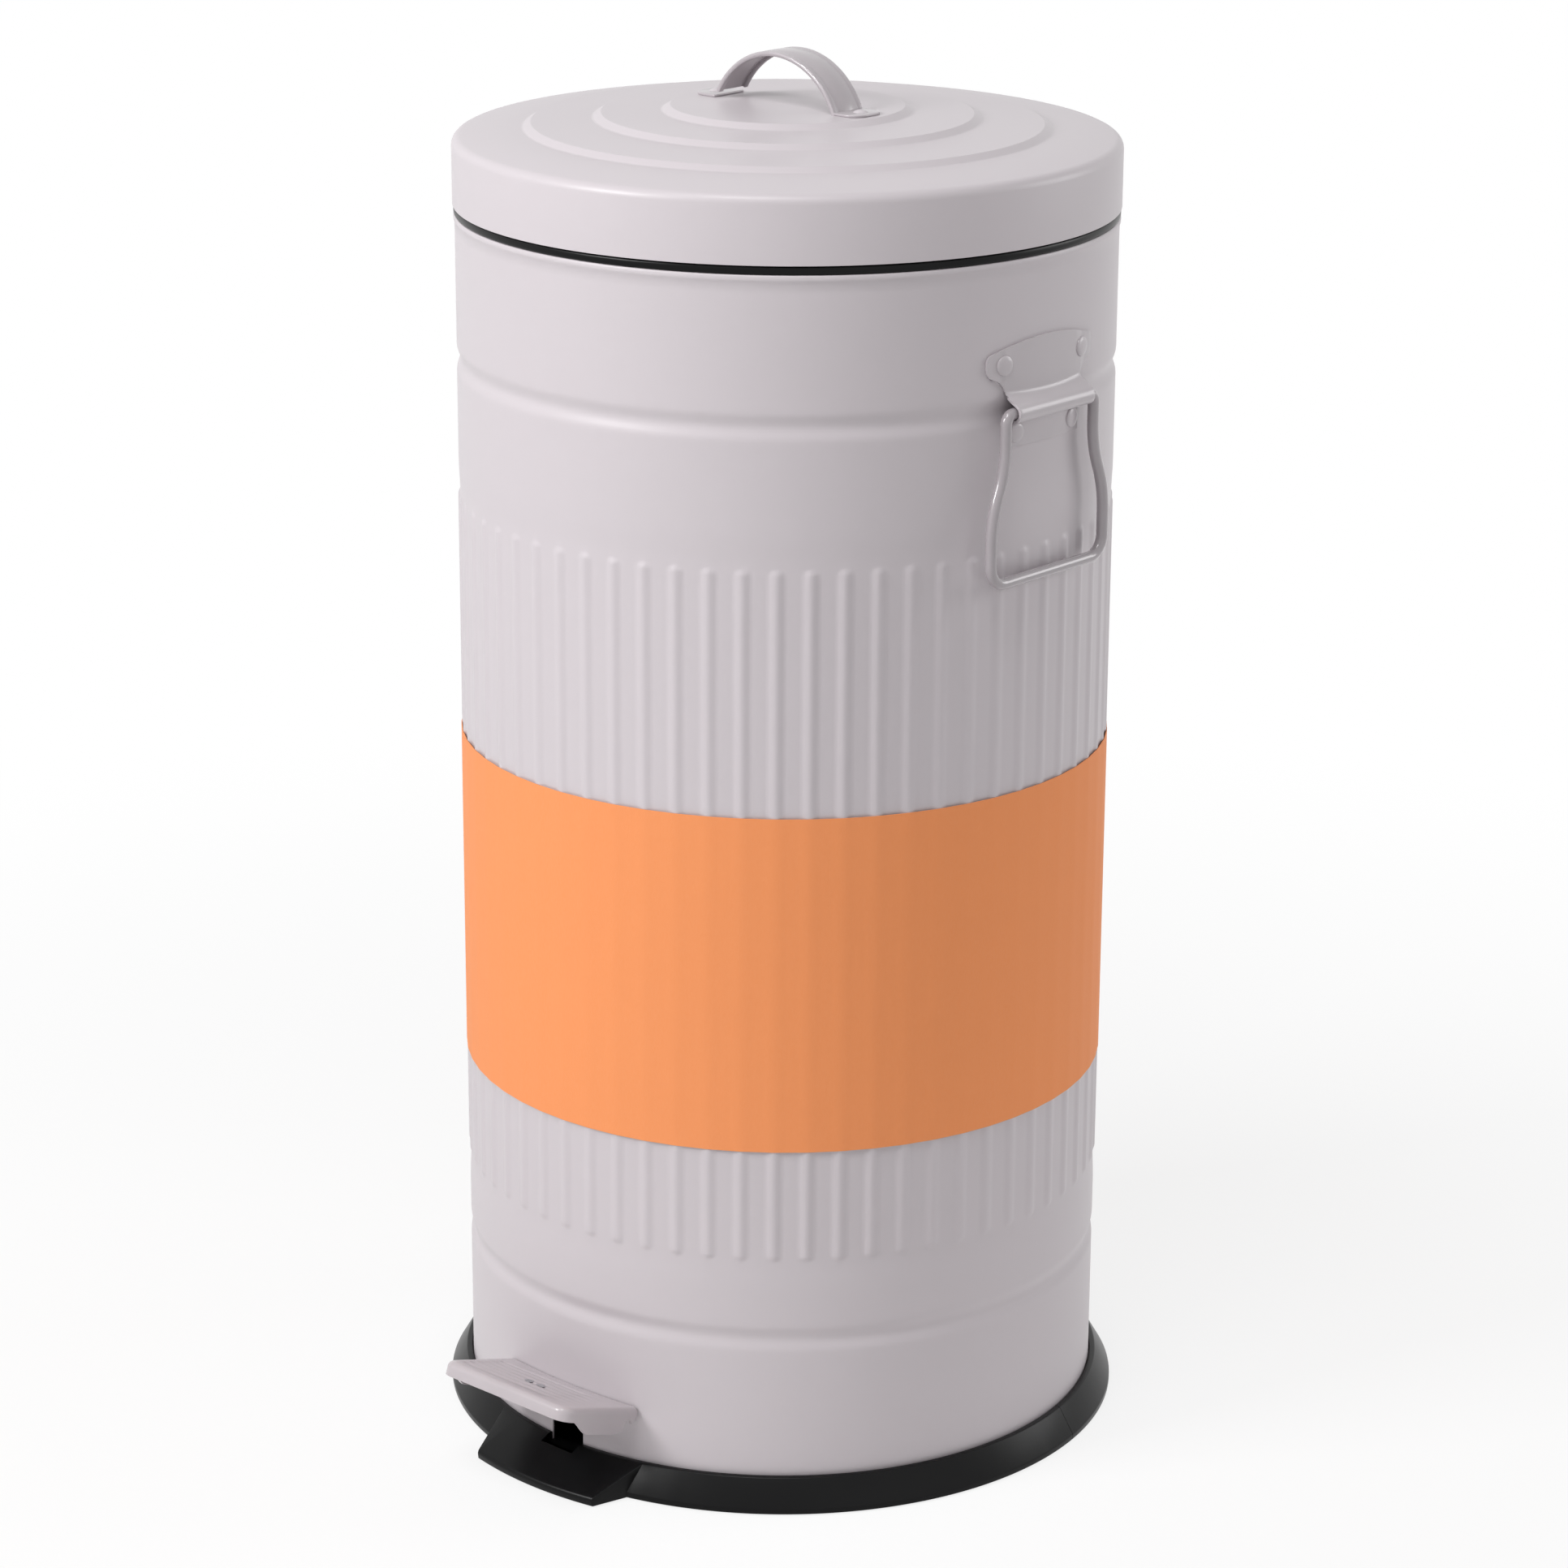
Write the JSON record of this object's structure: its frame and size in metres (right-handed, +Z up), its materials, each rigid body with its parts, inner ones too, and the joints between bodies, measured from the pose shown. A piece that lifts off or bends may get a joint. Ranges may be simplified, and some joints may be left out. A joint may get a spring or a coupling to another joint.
{
  "type": "pedal bin",
  "caption": "Round retro pedal bin: ribbed steel body, stepped hinged lid with strap handle, side bail handles, wide pedal, black base ring and lift-out bucket.",
  "frame": {"origin": "on the body's upright axis, at floor level, in the middle of the centre foot", "axes": "+Z up, -Y front with the pedal, +Y rear with the hinge, +X the right-hand side as seen by someone behind the bin"},
  "size_m": [0.321, 0.3563, 0.6448],
  "materials": {
    "painted_steel": "pale mauve-grey satin powder coat",
    "orange_band": "printed paper band, matte orange",
    "black_plastic": "black moulded plastic, fine texture",
    "grey_pedal": "pale mauve-grey satin powder coat",
    "zinc_steel": "zinc-plated steel",
    "rubber": "black rubber"
  },
  "bodies": {
    "body": {"body_shell": "painted_steel", "wrap_band": "orange_band", "top_rim_ring": "black_plastic", "base_front": "black_plastic", "base_rear": "black_plastic", "base_plate": "black_plastic", "base_screws": "zinc_steel", "rubber_feet": "rubber", "fulcrum_bracket": "zinc_steel", "fulcrum_rivets": "zinc_steel", "fulcrum_pin": "zinc_steel", "fulcrum_clip": "zinc_steel", "pedal_stop": "rubber", "rod_guides": "zinc_steel", "guide_rivets": "painted_steel", "hinge_bracket": "painted_steel", "hinge_rivets": "painted_steel", "hinge_pin": "zinc_steel", "hinge_clip": "zinc_steel", "right_handle_bracket": "painted_steel", "right_handle_rivets": "painted_steel", "left_handle_bracket": "painted_steel", "left_handle_rivets": "painted_steel"},
    "lid": {"lid_shell": "painted_steel", "lid_hinge_arm": "painted_steel", "lid_hinge_rivets": "painted_steel", "lid_handle": "painted_steel", "lid_handle_rivets": "painted_steel"},
    "pedal": {"pedal_plate": "grey_pedal", "pedal_lever": "zinc_steel", "pedal_rivets": "zinc_steel"},
    "push_rod": {"push_rod": "zinc_steel", "rod_clips": "zinc_steel"},
    "right_bail": {"right_bail": "painted_steel"},
    "left_bail": {"left_bail": "painted_steel"},
    "bucket": {"inner_bucket": "black_plastic"},
    "bucket_bail": {"bucket_bail": "zinc_steel"}
  },
  "joints": [
    {"name": "lid_hinge", "type": "hinge", "parent": "body", "child": "lid", "pos_m": [0, 0.157, 0.572], "axis": [-1, 0, 0], "range_deg": [0, 75]},
    {"name": "pedal_pivot", "type": "hinge", "parent": "body", "child": "pedal", "pos_m": [0, 0, 0.024], "axis": [1, 0, 0], "range_deg": [0, 7.7]},
    {"name": "push_rod_pivot", "type": "hinge", "parent": "pedal", "child": "push_rod", "pos_m": [0.012, 0.13796, 0.01072], "axis": [1, 0, 0], "range_deg": [-7.7, 0]},
    {"name": "right_bail_swing", "type": "hinge", "parent": "body", "child": "right_bail", "pos_m": [0.1534, 0, 0.507], "axis": [0, -1, 0], "range_deg": [0, 105]},
    {"name": "left_bail_swing", "type": "hinge", "parent": "body", "child": "left_bail", "pos_m": [-0.1534, 0, 0.507], "axis": [0, 1, 0], "range_deg": [0, 105]},
    {"name": "bucket_lift", "type": "slide", "parent": "body", "child": "bucket", "axis": [0, 0, 1], "range_m": [0, 0.008]},
    {"name": "bucket_bail_swing", "type": "hinge", "parent": "bucket", "child": "bucket_bail", "pos_m": [0, 0, 0.5778], "axis": [-1, 0, 0], "range_deg": [0, 7]}
  ],
  "couplings": [
    {"joint": "pedal_pivot", "follows": "lid_hinge", "ratio": 0.10162},
    {"joint": "push_rod_pivot", "follows": "lid_hinge", "ratio": -0.10162}
  ]
}
